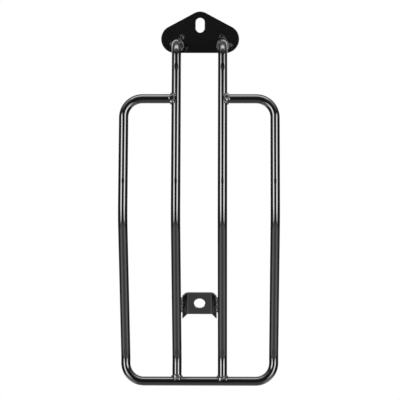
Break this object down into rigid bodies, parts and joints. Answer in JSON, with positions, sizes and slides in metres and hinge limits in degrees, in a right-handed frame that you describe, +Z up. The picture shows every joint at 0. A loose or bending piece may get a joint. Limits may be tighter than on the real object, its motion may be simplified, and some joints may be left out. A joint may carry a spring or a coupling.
{
  "type": "rear luggage rack",
  "caption": "Narrow luggage rack of bent round bar: two long rails inside a rounded outer loop, on a slotted front plate and a rear bracket bent from strap.",
  "frame": {"origin": "centre of the footprint, on the surface that the rack lies on: the front plate's underside and the undersides of the bends where the rear lip starts", "axes": "+X the rider's right, +Y forward, towards the front plate, +Z up"},
  "size_m": [0.2052, 0.4888, 0.0952],
  "materials": {
    "gloss_black_paint": "gloss"
  },
  "bodies": {
    "root": {"front_plate": "gloss_black_paint", "left_rail": "gloss_black_paint", "right_rail": "gloss_black_paint", "outer_loop": "gloss_black_paint", "rear_bracket": "gloss_black_paint", "left_foot_weld": "gloss_black_paint", "right_foot_weld": "gloss_black_paint", "left_front_joint_weld": "gloss_black_paint", "right_front_joint_weld": "gloss_black_paint", "left_rear_joint_weld": "gloss_black_paint", "right_rear_joint_weld": "gloss_black_paint", "left_bracket_weld": "gloss_black_paint", "right_bracket_weld": "gloss_black_paint"}
  },
  "joints": []
}
